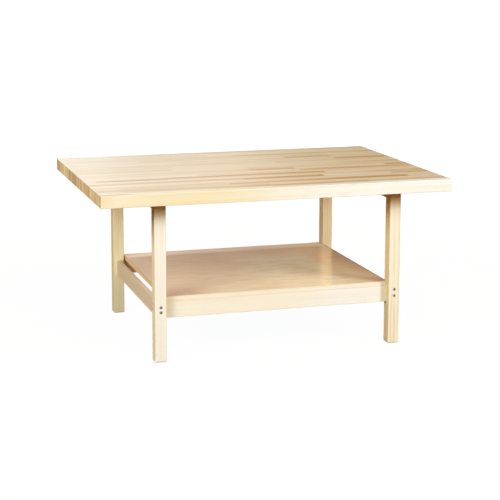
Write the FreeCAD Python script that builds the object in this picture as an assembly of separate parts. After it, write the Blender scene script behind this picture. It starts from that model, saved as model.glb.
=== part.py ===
"""Assembly table: a laminated maple top on a bolted base with a low shelf.

Millimetres, +Z up. The origin is on the floor under the middle of the top,
+X runs along the top and -Y faces the user. Two end frames (two legs, an
upper rail and a lower stretcher each) are joined by two long rails, whose
ends are let into the legs and pulled up by bolts and barrel nuts. The shelf
lies on the long rails and the top lies on the upper rails.
"""
import FreeCAD
import Part
import math
import os

V = FreeCAD.Vector

# Top
TABLE_HEIGHT = 762.0
TOP_LENGTH = 1596.0
TOP_DEPTH = 1110.0
TOP_THICK = 55.0
TOP_CORNER = 3.0            # radius of the upright corners
TOP_EASE = 2.0              # radius along the top and bottom outline

# How far the top stands out past the legs
LEFT_OVERHANG = 247.0
RIGHT_OVERHANG = 209.0
END_OVERHANG = 87.0         # at the front and at the back

# Legs
LEG = 52.0                  # side of the square leg
LEG_EASE = 2.0
FOOT_CHAMFER = 3.0

# Lower rails and stretchers, all of one section
RAIL_THICK = 20.0
RAIL_HEIGHT = 73.0
RAIL_BOTTOM = 190.0
RAIL_EASE = 1.0
FRONT_RAIL_MARGIN = 2.0     # from the front rail's back face to the front legs' back faces
STRETCHER_SETBACK = 18.0    # from each leg's left face
HOUSING_DEPTH = 5.0         # how far a rail's end is let into its leg
HOUSING_OVERRUN = 10.0      # the front housings run on below the rail, round-ended

# Upper end rails
UPPER_RAIL_HEIGHT = 47.0
DOWEL_DIA = 8.0
DOWEL_LENGTH = 44.0
DOWEL_PITCH = 23.0
DOWEL_END_GAP = 1.0

# Shelf
SHELF_THICK = 19.5
SHELF_BAND = 10.0           # solid edge bands along the front and the back
SHELF_LEFT_GAP = 6.0        # between the shelf and the left legs
SHELF_RIGHT_LAP = 8.0       # the shelf laps past the right legs' inner faces
NOTCH_GAP = 0.5

# Connector bolts, washers and barrel nuts
FIT = 0.05                  # radial clearance of every fitted bore
BOLT_DIA = 6.0
HEAD_DIA = 10.0
HEAD_HEIGHT = 6.0
SOCKET_FLATS = 5.0
SOCKET_DEPTH = 3.0
WASHER_DIA = 12.0
WASHER_THICK = 1.0
COUNTERBORE_GAP = 0.4       # all round the washer
HEAD_RECESS = 1.0           # the head stops this far inside the leg's face
NUT_DIA = 10.0
NUT_LENGTH = 14.0
NUT_INSET = 33.0            # nut axis from the leg's inner face
BOLT_PROUD = 3.0            # the bolt's tip passes the nut's axis by this much
TIP_GAP = 2.0               # the bore goes on past the tip by this much

# Heights of the bolts above or below the middle of the rails: rail bolts run
# along X and stretcher bolts along Y, and the two kinds pass between each other
LEFT_RAIL_BOLTS = (6.5, 29.0)
LEFT_STRETCHER_BOLTS = (-4.5, 18.0)
RIGHT_RAIL_BOLTS = (-19.5, 9.5)
RIGHT_STRETCHER_BOLTS = (-5.5, 24.5)

# Screws that hold the top and the shelf from below
TOP_SCREW_DIA = 5.0
TOP_SCREW_HEAD = 9.0
TOP_SCREW_HEAD_HEIGHT = 3.5
TOP_SCREW_BITE = 32.0       # length inside the top
TOP_SCREW_WELL_DIA = 12.0
TOP_SCREW_WELL = 12.0
TOP_SCREW_INSET = 56.0      # first and last screw from the legs' inner faces
TOP_SCREW_ROW = 3           # screws along each upper rail
TOP_SCREW_WASHER_DIA = 11.0
SHELF_SCREW_DIA = 4.5
SHELF_SCREW_HEAD = 8.0
SHELF_SCREW_HEAD_HEIGHT = 3.0
SHELF_SCREW_BITE = 13.0     # length inside the shelf
SHELF_SCREW_WELL_DIA = 9.0
SHELF_SCREW_WELL = 45.0
SHELF_SCREW_INSET = 83.0    # first and last screw from the legs' inner faces
SHELF_SCREW_ROW = 4         # screws along each long rail

# Levels and faces worked out from the sizes above
TOP_UNDERSIDE = TABLE_HEIGHT - TOP_THICK
UPPER_RAIL_BOTTOM = TOP_UNDERSIDE - UPPER_RAIL_HEIGHT
RAIL_TOP = RAIL_BOTTOM + RAIL_HEIGHT
RAIL_MIDDLE = RAIL_BOTTOM + RAIL_HEIGHT / 2
BASE_LEFT = LEFT_OVERHANG - TOP_LENGTH / 2
BASE_RIGHT = TOP_LENGTH / 2 - RIGHT_OVERHANG
BASE_FRONT = END_OVERHANG - TOP_DEPTH / 2
BASE_BACK = TOP_DEPTH / 2 - END_OVERHANG
INNER_LEFT = BASE_LEFT + LEG
INNER_RIGHT = BASE_RIGHT - LEG
INNER_FRONT = BASE_FRONT + LEG
INNER_BACK = BASE_BACK - LEG
FRONT_RAIL_FACE = INNER_FRONT - FRONT_RAIL_MARGIN - RAIL_THICK
BACK_RAIL_FACE = BASE_BACK - RAIL_THICK
COUNTERBORE_DIA = WASHER_DIA + 2 * COUNTERBORE_GAP
COUNTERBORE_DEPTH = HEAD_RECESS + HEAD_HEIGHT + WASHER_THICK
BOLT_REACH = LEG - COUNTERBORE_DEPTH + NUT_INSET + BOLT_PROUD

SAME_PLACE = 1e-6           # values closer than this are one value

# (side, x of the leg's left face, heights of its rail and stretcher bolts)
SIDES = (
    ("left", BASE_LEFT, LEFT_RAIL_BOLTS, LEFT_STRETCHER_BOLTS),
    ("right", INNER_RIGHT, RIGHT_RAIL_BOLTS, RIGHT_STRETCHER_BOLTS),
)
# (end, y of the leg's front face, y of the near face of its long rail)
ENDS = (
    ("front", BASE_FRONT, FRONT_RAIL_FACE),
    ("back", INNER_BACK, BACK_RAIL_FACE),
)


def block(x, y, z):
    """Box between the low and high values of three (low, high) pairs."""
    size = (x[1] - x[0], y[1] - y[0], z[1] - z[0])
    return Part.makeBox(size[0], size[1], size[2], V(x[0], y[0], z[0]))


def rod(diameter, start, axis, length):
    """Cylinder from a point along an axis."""
    return Part.makeCylinder(diameter / 2, length, start, axis)


def bore(diameter, start, axis, length):
    """Hole for a rod of this diameter, with the fitted clearance."""
    return rod(diameter + 2 * FIT, start, axis, length)


def edges_along(shape, axis):
    """Straight edges of a shape that run parallel to an axis."""
    found = []
    for edge in shape.Edges:
        run = edge.Vertexes[-1].Point - edge.Vertexes[0].Point
        if run.Length > 0 and run.cross(axis).Length < SAME_PLACE * run.Length:
            found.append(edge)
    return found


def edges_at_height(shape, height):
    """Edges that lie wholly at one height."""
    found = []
    for edge in shape.Edges:
        bounds = edge.BoundBox
        if max(abs(bounds.ZMin - height), abs(bounds.ZMax - height)) < SAME_PLACE:
            found.append(edge)
    return found


def cut_all(shape, tools):
    """Shape with every tool taken out of it."""
    return shape.cut(Part.makeCompound(tools)) if tools else shape


def top_slab():
    """Glued-up slab with eased corners and edges."""
    x = (-TOP_LENGTH / 2, TOP_LENGTH / 2)
    y = (-TOP_DEPTH / 2, TOP_DEPTH / 2)
    slab = block(x, y, (TOP_UNDERSIDE, TABLE_HEIGHT))
    slab = slab.makeFillet(TOP_CORNER, edges_along(slab, V(0, 0, 1)))
    outline = edges_at_height(slab, TOP_UNDERSIDE) + edges_at_height(slab, TABLE_HEIGHT)
    return slab.makeFillet(TOP_EASE, outline)


def leg_blank(x, y):
    """Square post with eased sides and a chamfered foot."""
    post = block((x, x + LEG), (y, y + LEG), (0, TOP_UNDERSIDE))
    post = post.makeFillet(LEG_EASE, edges_along(post, V(0, 0, 1)))
    return post.makeChamfer(FOOT_CHAMFER, edges_at_height(post, 0))


def eased_bar(x, y, z, axis):
    """Rail blank whose four long edges are eased."""
    bar = block(x, y, z)
    return bar.makeFillet(RAIL_EASE, edges_along(bar, axis))


def long_rail(face):
    """Long rail along X whose near face stands at y = face."""
    x = (INNER_LEFT - HOUSING_DEPTH, INNER_RIGHT + HOUSING_DEPTH)
    y = (face, face + RAIL_THICK)
    return eased_bar(x, y, (RAIL_BOTTOM, RAIL_TOP), V(1, 0, 0))


def end_stretcher(leg_x):
    """Lower stretcher along Y of the end frame whose legs start at leg_x."""
    x = (leg_x + STRETCHER_SETBACK, leg_x + STRETCHER_SETBACK + RAIL_THICK)
    y = (INNER_FRONT - HOUSING_DEPTH, INNER_BACK + HOUSING_DEPTH)
    return eased_bar(x, y, (RAIL_BOTTOM, RAIL_TOP), V(0, 1, 0))


def upper_rail(leg_x):
    """Upper rail along Y, between the legs and against the top."""
    x = (leg_x + STRETCHER_SETBACK, leg_x + STRETCHER_SETBACK + RAIL_THICK)
    y = (INNER_FRONT, INNER_BACK)
    return eased_bar(x, y, (UPPER_RAIL_BOTTOM, TOP_UNDERSIDE), V(0, 1, 0))


def rail_housing(side, end, face):
    """Pocket in a leg's inner face that takes a long rail's end.

    The front ones run on below the rail to a round end; the back ones are
    cut to the rail's own height.
    """
    low, high = (INNER_LEFT - HOUSING_DEPTH, INNER_LEFT)
    if side == "right":
        low, high = (INNER_RIGHT, INNER_RIGHT + HOUSING_DEPTH)
    y = (face, face + RAIL_THICK)
    if end == "back":
        return block((low, high), y, (RAIL_BOTTOM, RAIL_TOP))
    round_radius = RAIL_THICK / 2
    centre_z = RAIL_BOTTOM - HOUSING_OVERRUN + round_radius
    slot = block((low, high), y, (centre_z, RAIL_TOP))
    centre = V(low, face + round_radius, centre_z)
    return slot.fuse(rod(RAIL_THICK, centre, V(1, 0, 0), HOUSING_DEPTH))


def stretcher_housing(leg_x, end):
    """Pocket in a leg's face that takes a lower stretcher's end."""
    x = (leg_x + STRETCHER_SETBACK, leg_x + STRETCHER_SETBACK + RAIL_THICK)
    y = (INNER_FRONT - HOUSING_DEPTH, INNER_FRONT)
    if end == "back":
        y = (INNER_BACK, INNER_BACK + HOUSING_DEPTH)
    return block(x, y, (RAIL_BOTTOM, RAIL_TOP))


def bolt_stations():
    """Every connector bolt as (side, end, kind, mouth, axis, nut axis).

    The mouth is the middle of the counterbore's rim on the leg's outer face,
    the axis points into the table, and the nut axis points to the face of the
    rail that the nut is pushed in from.
    """
    stations = []
    for side, leg_x, rail_heights, stretcher_heights in SIDES:
        inward_x = 1 if side == "left" else -1
        outer_x = BASE_LEFT if side == "left" else BASE_RIGHT
        for end, leg_y, face in ENDS:
            inward_y = 1 if end == "front" else -1
            outer_y = BASE_FRONT if end == "front" else BASE_BACK
            rail_y = face + RAIL_THICK / 2
            stretcher_x = leg_x + STRETCHER_SETBACK + RAIL_THICK / 2
            for rise in rail_heights:
                mouth = V(outer_x, rail_y, RAIL_MIDDLE + rise)
                stations.append((side, end, "rail", mouth, V(inward_x, 0, 0), V(0, inward_y, 0)))
            for rise in stretcher_heights:
                mouth = V(stretcher_x, outer_y, RAIL_MIDDLE + rise)
                stations.append((side, end, "stretcher", mouth, V(0, inward_y, 0), V(inward_x, 0, 0)))
    return stations


def bolt_seat(mouth, axis):
    """Where the washer bears, at the floor of the counterbore."""
    return mouth + axis * COUNTERBORE_DEPTH


def nut_centre(mouth, axis):
    """Middle of the barrel nut that the bolt screws into."""
    return mouth + axis * (LEG + NUT_INSET)


def bolt_tools(mouth, axis):
    """Counterbore and bore that a bolt needs in the leg and the rail."""
    seat = bolt_seat(mouth, axis)
    well = rod(COUNTERBORE_DIA, mouth, axis, COUNTERBORE_DEPTH)
    return [well, bore(BOLT_DIA, seat, axis, BOLT_REACH + TIP_GAP)]


def nut_tool(mouth, axis, nut_axis):
    """Blind hole for a barrel nut, open at the rail's inner face."""
    far_end = nut_centre(mouth, axis) - nut_axis * (NUT_LENGTH / 2)
    return bore(NUT_DIA, far_end, nut_axis, NUT_LENGTH / 2 + RAIL_THICK / 2)


def connector_bolt(mouth, axis):
    """Socket-head bolt, its head under the leg's face."""
    seat = bolt_seat(mouth, axis)
    head_base = seat - axis * WASHER_THICK
    shank = rod(BOLT_DIA, head_base, axis, BOLT_REACH + WASHER_THICK)
    head_top = head_base - axis * HEAD_HEIGHT
    head = rod(HEAD_DIA, head_top, axis, HEAD_HEIGHT)
    return head.fuse(shank).cut(hex_socket(head_top, axis)).removeSplitter()


def hex_socket(start, axis):
    """Hexagonal prism sunk along the axis from a head's face."""
    across = axis.cross(V(0, 0, 1))
    sixth = math.radians(60)
    radius = SOCKET_FLATS / 2 / math.cos(sixth / 2)
    corners = []
    for k in range(6):
        rise = V(0, 0, radius * math.sin(k * sixth))
        corners.append(start + across * (radius * math.cos(k * sixth)) + rise)
    return Part.Face(Part.makePolygon(corners + corners[:1])).extrude(axis * SOCKET_DEPTH)


def bolt_washer(mouth, axis):
    """Flat washer under the bolt's head."""
    seat = bolt_seat(mouth, axis)
    start = seat - axis * WASHER_THICK
    return rod(WASHER_DIA, start, axis, WASHER_THICK).cut(bore(BOLT_DIA, start, axis, WASHER_THICK))


def barrel_nut(mouth, axis, nut_axis):
    """Cross dowel with a hole for the bolt."""
    centre = nut_centre(mouth, axis)
    start = centre - nut_axis * (NUT_LENGTH / 2)
    hole = bore(BOLT_DIA, centre - axis * NUT_DIA, axis, 2 * NUT_DIA)
    return rod(NUT_DIA, start, nut_axis, NUT_LENGTH).cut(hole)


def dowel_stations(leg_x):
    """Middles of the dowels that pin one upper rail between its legs."""
    x = leg_x + STRETCHER_SETBACK + RAIL_THICK / 2
    mid_z = UPPER_RAIL_BOTTOM + UPPER_RAIL_HEIGHT / 2
    centres = []
    for y in (INNER_FRONT, INNER_BACK):
        for z in (mid_z - DOWEL_PITCH / 2, mid_z + DOWEL_PITCH / 2):
            centres.append(V(x, y, z))
    return centres


def upper_rail_dowel(centre):
    """Wooden dowel, half in the leg and half in the rail."""
    return rod(DOWEL_DIA, centre - V(0, DOWEL_LENGTH / 2, 0), V(0, 1, 0), DOWEL_LENGTH)


def dowel_tool(centre):
    """Hole for a dowel, a little longer than the dowel."""
    reach = DOWEL_LENGTH + 2 * DOWEL_END_GAP
    return bore(DOWEL_DIA, centre - V(0, reach / 2, 0), V(0, 1, 0), reach)


def evenly(low, high, count):
    """Values spaced evenly from low to high, both included."""
    return [low + (high - low) * k / (count - 1) for k in range(count)]


def top_screw_stations(leg_x):
    """Mouths of the screw wells on the underside of one upper rail."""
    x = leg_x + STRETCHER_SETBACK + RAIL_THICK / 2
    places = evenly(INNER_FRONT + TOP_SCREW_INSET, INNER_BACK - TOP_SCREW_INSET, TOP_SCREW_ROW)
    return [V(x, y, UPPER_RAIL_BOTTOM) for y in places]


def shelf_screw_stations(face):
    """Mouths of the screw wells on the underside of one long rail."""
    y = face + RAIL_THICK / 2
    places = evenly(INNER_LEFT + SHELF_SCREW_INSET, INNER_RIGHT - SHELF_SCREW_INSET, SHELF_SCREW_ROW)
    return [V(x, y, RAIL_BOTTOM) for x in places]


def pan_screw(mouth, well, washer, head_dia, head_height, dia, tip_z):
    """Upright pan-head screw in a well, its tip at tip_z."""
    head_top = mouth.z + well - washer
    head = rod(head_dia, V(mouth.x, mouth.y, head_top - head_height), V(0, 0, 1), head_height)
    shank = rod(dia, V(mouth.x, mouth.y, head_top), V(0, 0, 1), tip_z - head_top)
    return head.fuse(shank)


def screw_tools(mouth, well_dia, well, dia, tip_z):
    """Well and bore that an upright screw needs."""
    floor = mouth + V(0, 0, well)
    return [rod(well_dia, mouth, V(0, 0, 1), well),
            bore(dia, floor, V(0, 0, 1), tip_z + TIP_GAP - floor.z)]


def shelf_pieces():
    """Shelf panel, notched round the right legs, and its two edge bands."""
    left = INNER_LEFT + SHELF_LEFT_GAP
    right = INNER_RIGHT + SHELF_RIGHT_LAP
    front = FRONT_RAIL_FACE
    back = BACK_RAIL_FACE + RAIL_THICK
    z = (RAIL_TOP, RAIL_TOP + SHELF_THICK)
    panel = block((left, right), (front + SHELF_BAND, back - SHELF_BAND), z)
    notch_x = (INNER_RIGHT - NOTCH_GAP, right)
    notches = [block(notch_x, (front, INNER_FRONT + NOTCH_GAP), z),
               block(notch_x, (INNER_BACK - NOTCH_GAP, back), z)]
    band_x = (left, INNER_RIGHT - NOTCH_GAP)
    return {
        "shelf_panel": panel.cut(Part.makeCompound(notches)),
        "shelf_front_band": block(band_x, (front, front + SHELF_BAND), z),
        "shelf_back_band": block(band_x, (back - SHELF_BAND, back), z),
    }


def wooden_nodes():
    """Every wooden piece with its joinery cut, by node name."""
    stations = bolt_stations()
    nodes = {}
    slab_tools = []
    for side, leg_x, rail_heights, stretcher_heights in SIDES:
        dowels = [dowel_tool(centre) for centre in dowel_stations(leg_x)]
        for end, leg_y, face in ENDS:
            tools = [rail_housing(side, end, face), stretcher_housing(leg_x, end)] + dowels
            for at_side, at_end, kind, mouth, axis, nut_axis in stations:
                if (at_side, at_end) == (side, end):
                    tools += bolt_tools(mouth, axis)
            nodes["leg_%s_%s" % (end, side)] = cut_all(leg_blank(leg_x, leg_y), tools)
        tools = []
        for at_side, at_end, kind, mouth, axis, nut_axis in stations:
            if (at_side, kind) == (side, "stretcher"):
                tools += bolt_tools(mouth, axis) + [nut_tool(mouth, axis, nut_axis)]
        nodes["end_stretcher_%s" % side] = cut_all(end_stretcher(leg_x), tools)
        screws = []
        for mouth in top_screw_stations(leg_x):
            tip_z = TOP_UNDERSIDE + TOP_SCREW_BITE
            screws += screw_tools(mouth, TOP_SCREW_WELL_DIA, TOP_SCREW_WELL, TOP_SCREW_DIA, tip_z)
        nodes["upper_rail_%s" % side] = cut_all(upper_rail(leg_x), dowels + screws)
        slab_tools += screws
    nodes["top_slab"] = cut_all(top_slab(), slab_tools)
    panel_tools = []
    for end, leg_y, face in ENDS:
        tools = []
        for at_side, at_end, kind, mouth, axis, nut_axis in stations:
            if (at_end, kind) == (end, "rail"):
                tools += bolt_tools(mouth, axis) + [nut_tool(mouth, axis, nut_axis)]
        screws = []
        for mouth in shelf_screw_stations(face):
            tip_z = RAIL_TOP + SHELF_SCREW_BITE
            screws += screw_tools(mouth, SHELF_SCREW_WELL_DIA, SHELF_SCREW_WELL, SHELF_SCREW_DIA, tip_z)
        nodes["long_rail_%s" % end] = cut_all(long_rail(face), tools + screws)
        panel_tools += screws
    for name, shape in shelf_pieces().items():
        nodes[name] = cut_all(shape, panel_tools)
    return nodes


def hardware_nodes():
    """Fasteners, each kind a group of separate solids, by node name."""
    stations = bolt_stations()
    top_screws = []
    washers = []
    dowels = []
    for side, leg_x, rail_heights, stretcher_heights in SIDES:
        dowels += [upper_rail_dowel(centre) for centre in dowel_stations(leg_x)]
        for mouth in top_screw_stations(leg_x):
            floor = mouth + V(0, 0, TOP_SCREW_WELL - WASHER_THICK)
            washer = rod(TOP_SCREW_WASHER_DIA, floor, V(0, 0, 1), WASHER_THICK)
            washers.append(washer.cut(bore(TOP_SCREW_DIA, floor, V(0, 0, 1), WASHER_THICK)))
            top_screws.append(pan_screw(mouth, TOP_SCREW_WELL, WASHER_THICK, TOP_SCREW_HEAD,
                                        TOP_SCREW_HEAD_HEIGHT, TOP_SCREW_DIA,
                                        TOP_UNDERSIDE + TOP_SCREW_BITE))
    shelf_screws = []
    for end, leg_y, face in ENDS:
        for mouth in shelf_screw_stations(face):
            shelf_screws.append(pan_screw(mouth, SHELF_SCREW_WELL, 0, SHELF_SCREW_HEAD,
                                          SHELF_SCREW_HEAD_HEIGHT, SHELF_SCREW_DIA,
                                          RAIL_TOP + SHELF_SCREW_BITE))
    return {
        "connector_bolts": [connector_bolt(s[3], s[4]) for s in stations],
        "bolt_washers": [bolt_washer(s[3], s[4]) for s in stations],
        "barrel_nuts": [barrel_nut(s[3], s[4], s[5]) for s in stations],
        "upper_rail_dowels": dowels,
        "top_screws": top_screws,
        "top_screw_washers": washers,
        "shelf_screws": shelf_screws,
    }


os.makedirs("parts", exist_ok=True)
for node, shape in wooden_nodes().items():
    shape.exportStep("parts/%s.step" % node)
for node, solids in hardware_nodes().items():
    Part.makeCompound(solids).exportStep("parts/%s.step" % node)
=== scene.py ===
import math

import bpy
import numpy as np
from mathutils import Matrix, Vector


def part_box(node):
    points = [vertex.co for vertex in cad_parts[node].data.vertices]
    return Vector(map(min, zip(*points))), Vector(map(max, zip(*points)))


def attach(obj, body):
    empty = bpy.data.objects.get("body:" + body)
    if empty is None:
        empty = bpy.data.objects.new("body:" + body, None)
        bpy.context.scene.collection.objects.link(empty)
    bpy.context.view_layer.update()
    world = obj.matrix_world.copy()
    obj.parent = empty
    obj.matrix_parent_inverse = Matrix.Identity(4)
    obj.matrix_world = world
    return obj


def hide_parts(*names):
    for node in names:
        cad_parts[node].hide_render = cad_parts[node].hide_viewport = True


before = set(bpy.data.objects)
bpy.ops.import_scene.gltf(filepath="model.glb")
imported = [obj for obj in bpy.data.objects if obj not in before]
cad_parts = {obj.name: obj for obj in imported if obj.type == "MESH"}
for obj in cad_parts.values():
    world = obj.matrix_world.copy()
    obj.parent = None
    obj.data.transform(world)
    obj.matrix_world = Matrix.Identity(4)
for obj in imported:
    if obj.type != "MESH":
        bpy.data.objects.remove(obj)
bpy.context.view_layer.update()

# ---------------------------------------------------------------- studio values

# Camera: where it stands, how it is turned, and its lens for a square picture
CAMERA_PLACE = Vector((-1.8895, -6.2305, 1.7811))
CAMERA_YAW = 0.2975          # radians from +Y towards +X
CAMERA_PITCH = 0.1636        # radians below the horizon
CAMERA_ROLL = 0.0027
CAMERA_SENSOR = 36.0
CAMERA_LENS = 101.286
CAMERA_SHIFT_UP = -0.14

# Softboxes: name, azimuth (0 in front, positive to the right), elevation,
# distance, width, height, watts, colour, and whether a gloss mirrors it
LAMP_TARGET = Vector((0.0, 0.0, 0.55))
LAMP_WHITE = (1.0, 0.99, 0.97)
LAMPS = (
    ("softbox_left", -57, 27, 9.0, 2.5, 3.5, 535, LAMP_WHITE, False),
    ("softbox_near_left", -40, 20, 9.0, 2.5, 3.5, 110, LAMP_WHITE, False),
    ("softbox_right", 43, 23, 9.0, 2.5, 3.5, 572, LAMP_WHITE, False),
    ("softbox_high", 0, 45, 6.0, 2.5, 2.5, 110, LAMP_WHITE, False),
    ("softbox_side", 105, 22, 12.0, 3.5, 3.5, 320, (1.0, 0.97, 0.92), True),
    ("softbox_back", 175, 25, 8.0, 3.8, 2.5, 92, LAMP_WHITE, True),
    ("softbox_back_left", -125, 20, 9.0, 3.0, 3.0, 125, LAMP_WHITE, False),
    ("softbox_behind", 165, 8, 9.0, 3.0, 3.0, 320, (1.0, 0.96, 0.90), False),
)
FILL_COLOR = (1.0, 0.76, 0.42, 1)
FILL_STRENGTH = 0.08
BACKGROUND_WHITE = (1, 1, 1, 1)

FLOOR_HALF = 60.0
FLOOR_PALE = (0.28, 0.18, 0.10, 1)
FLOOR_GLOW = 1.18
FLOOR_GLOW_COLOR = (1.0, 1.011, 1.024, 1)
FLOOR_WHITE_NEAR = 0.81      # share of glow by the table; the rest shows the shadow
FLOOR_FAR = (2.0, 9.0)       # between these distances the floor turns plain white
FAR_WALL_Y = 10.0
FAR_WALL_SPAN = (1.45, 14.0, 0.8, 9.0)   # x from and to, z from and to
FAR_WALL_COLOR = (0.12, 0.10, 0.08, 1)

# ---------------------------------------------------------------- wood values

RING_WIDTH = 0.0034          # one year's growth
PITH_SIDE = 0.035            # the tree's middle lies this far beside the board
PITH_DEPTH = -0.075          # and this far under it
RING_BEND = 0.022            # how far slow noise bends the rings
RING_BEND_CYCLES = (1.1, 9.0, 9.0)
LATE_WOOD = (0.35, 0.92)     # part of a year over which its dark wood sets in

# Layers of the figure: cycles per metre along and across the grain, detail,
# roughness, and the noise values between which the layer fades in
FIGURE_NOISES = {
    "bands": ((0.8, 28.0, 28.0), 2.0, 0.5, (0.32, 0.68)),
    "streaks": ((1.3, 105.0, 105.0), 3.0, 0.6, (0.46, 0.72)),
    "lines": ((1.0, 170.0, 170.0), 1.0, 0.5, (0.63, 0.72)),
    "fibres": ((9.0, 620.0, 620.0), 3.0, 0.65, None),
    "dashes": ((14.0, 260.0, 260.0), 1.0, 0.5, (0.66, 0.76)),
    "flecks": ((90.0, 1500.0, 1500.0), 1.0, 0.5, (0.62, 0.74)),
}
# How strongly each layer colours the wood: the bands first, then the tone of
# the board, then the others in this order
BAND_SHARE = 0.45
LAYER_SHARES = {
    "streaks": 0.17,
    "lines": 0.13,
    "late": 0.09,
    "fibres": 0.22,
    "dashes": 0.16,
    "flecks": 0.20,
}
TONE_LEAST, TONE_BY_BAND = 0.7, 0.6      # a brown board is browner in its bands
FIBRE_RELIEF, FLECK_RELIEF = 0.6, 0.4
ROUGH_SWING = 0.08           # how far fibres and bands change the roughness

FACING = (0.5, 0.9)          # parts of the normal from which a face looks one way
SQUARE = (0.80, 0.95)        # and from which it counts as square to an axis
HALF_LINE = 0.0002           # a glue line is at full strength this far to each side

MAPLE_PALE = (0.79, 0.77, 0.67)
MAPLE_WARM = (0.76, 0.66, 0.46)
MAPLE_BROWN = (0.50, 0.30, 0.14)
END_PALE = (0.88, 0.70, 0.36)
END_BROWN = (0.38, 0.235, 0.10)

# ---------------------------------------------------------------- top values

TOP_LOW, TOP_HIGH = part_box("top_slab")
TOP_LENGTH = TOP_HIGH.x - TOP_LOW.x
TOP_DEPTH = TOP_HIGH.y - TOP_LOW.y
STRIP_ROWS = 23
ROW_WIDTH = TOP_DEPTH / STRIP_ROWS
SHORTEST_BOARD = 0.30
LONGEST_BOARD = 1.15
JOINT_DECIMALS = 4           # joints within a tenth of a millimetre share a column
EASED_EDGE = 0.002           # the outline is rounded by this much
EASED_STEPS = 3
EASED_ANGLE = math.radians(60)
STRIP_SEED = 11

# Boards that stand out: row from the back, where each starts and ends along
# the top from its left end, and how brown it is (0 pale, 1 the brownest)
CHOSEN_BOARDS = (
    (0, 0.00, 0.45, 0.12),
    (0, 0.45, 1.18, 0.52),
    (0, 1.18, 1.596, 0.35),
    (1, 0.00, 0.74, 0.00),
    (3, 0.05, 0.70, 0.30),
    (3, 0.85, 1.596, 0.48),
    (5, 1.08, 1.32, 0.60),
    (7, 0.20, 0.71, 0.28),
    (7, 1.31, 1.596, 0.62),
    (10, 0.00, 0.45, 0.30),
    (10, 1.30, 1.596, 0.45),
    (12, 0.65, 0.80, 0.45),
    (12, 0.80, 1.02, 0.78),
    (12, 1.48, 1.596, 0.60),
    (13, 1.03, 1.596, 0.62),
    (15, 0.05, 0.37, 0.65),
    (15, 0.37, 1.12, 0.78),
    (16, 1.33, 1.596, 0.45),
    (17, 0.00, 0.70, 0.62),
    (17, 0.70, 1.08, 1.32),
    (17, 1.08, 1.41, 0.00),
    (17, 1.41, 1.596, 0.60),
    (19, 0.00, 0.60, 0.38),
    (19, 0.60, 0.88, 0.66),
    (19, 0.88, 1.45, 0.98),
    (20, 0.00, 0.77, 0.50),
    (20, 0.77, 1.596, 0.08),
    (21, 0.00, 0.77, 0.62),
    (21, 0.77, 1.22, 0.72),
    (21, 1.22, 1.596, 0.42),
    (22, 0.00, 1.596, 0.02),
)
PLAIN_TONES = (0.02, 0.22)   # range of every other board
# How brown each row's block is at the top's left end
END_TONES = (0.90, 0.50, 0.32, 0.37, 0.05, 0.25, 0.35, 0.92, 0.52, 0.84, 1.04, 0.59,
             0.49, 0.54, 0.29, 0.39, 0.64, 0.61, 0.24, 0.46, 0.43, 0.40, 0.20)

# Boards: colours, the x over which the painted sheen at the left end fades, how far a
# seed of 1 moves the grain in metres, and what drawn() takes for each use
TOP_PALE = (0.70, 0.60, 0.435)
TOP_WARM = (0.66, 0.49, 0.30)
TOP_BROWN = (0.45, 0.245, 0.07)
BOARD_YELLOWER = (0.975, 1.0, 0.92)
BOARD_PINKER = (1.0, 0.975, 0.99)
LEFT_SHEEN_TINT = (0.94, 0.985, 1.07)
LEFT_SHEEN_TINT_FADE = (-0.60, -0.10)
BOARD_SHIFT = (37.0, 0.9, 0.07)
TURN_DRAW, HUE_DRAW, LINE_DRAW = 5.7, 29.3, 13.7
# How much of a board's tone shows all over, by side and by cloud
BOARD_LEAST, BOARD_SLOPE, BOARD_CLOUD = 0.1, 0.7, 1.2
BOARD_CLOUD_CYCLES = (3.0, 30.0, 30.0)
TOP_ROUGH = 0.36
TOP_DULLER = 0.4             # the ends and the underside are rougher
TOP_RELIEF = 0.00015
TOP_SPECULAR = 0.25

# Long faces: yellow at the left end, gold at the left tip and the foot, painted light
# whiter to the right, and painted warm shade on the back face; shares, and the x or height over
# which each fades
FACE_PALE = (0.77, 0.81, 0.79)
FACE_YELLOW = (0.71, 0.62, 0.38)
FACE_GOLD = (0.74, 0.54, 0.24)
FACE_RIGHT_LIGHT_TINT = (1.0, 1.03, 1.06)
FACE_TONE = 0.5
YELLOW_LEAST, YELLOW_MORE, BACK_FACE_SHADE_YELLOW = 0.5, 0.3, 0.45
YELLOW_RISE = (-0.8, -0.45)
YELLOW_FADE = (-0.38, 0.20)
GOLD_TIP, GOLD_TIP_REACH = 0.6, 0.09
GOLD_FOOT, GOLD_FOOT_FADE = 0.8, (0.002, 0.016)
GOLD_LEAST, GOLD_BY_BAND = 0.3, 0.7
FACE_RIGHT_LIGHT_RISE = (0.1, 0.5)
FRONT_STRIP, FRONT_STRIP_RISE = 0.8, (-0.4, 0.5)     # the front row's upper face

# End grain: the block's own tone, patches and late wood
BLOCK_TONE, BLOCK_PATCHES, BLOCK_LATE = 0.8, 0.4, 0.25
BLOCK_RANGE = (-0.2, 1.3)
PATCH_CYCLES, PATCH_FADE = (0.0, 62.0, 10.0), (0.38, 0.62)
BLOCK_SHARE = 0.9

# Lines and edges
GLUE_LINE = (0.36, 0.22, 0.11)
GLUE_SHARE, ROW_LINE_LEAST, JOINT_SHARE = 0.8, 0.25, 0.5
GLUE_FADE = 0.0008           # a line has faded out this far to each side
GLUE_DEPTH = 0.5             # in the relief
HEART_LINE = (0.26, 0.16, 0.05)      # dark line behind the front edge
HEART_SHARE = 0.9
HEART_NEAR, HEART_FAR = (0.0015, 0.004), (0.018, 0.026)  # back from the front face
HEART_FADE = (0.08, 0.17)    # it fades out between these distances from the left end
PALE_OUTLINE_WIDTH, PALE_OUTLINE_SHARE = 0.004, 0.55     # pale outline: wear and a painted highlight on the eased edges

# ---------------------------------------------------------------- frame values

# Legs' pale colours; painted light makes the back legs paler than the front ones
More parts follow.
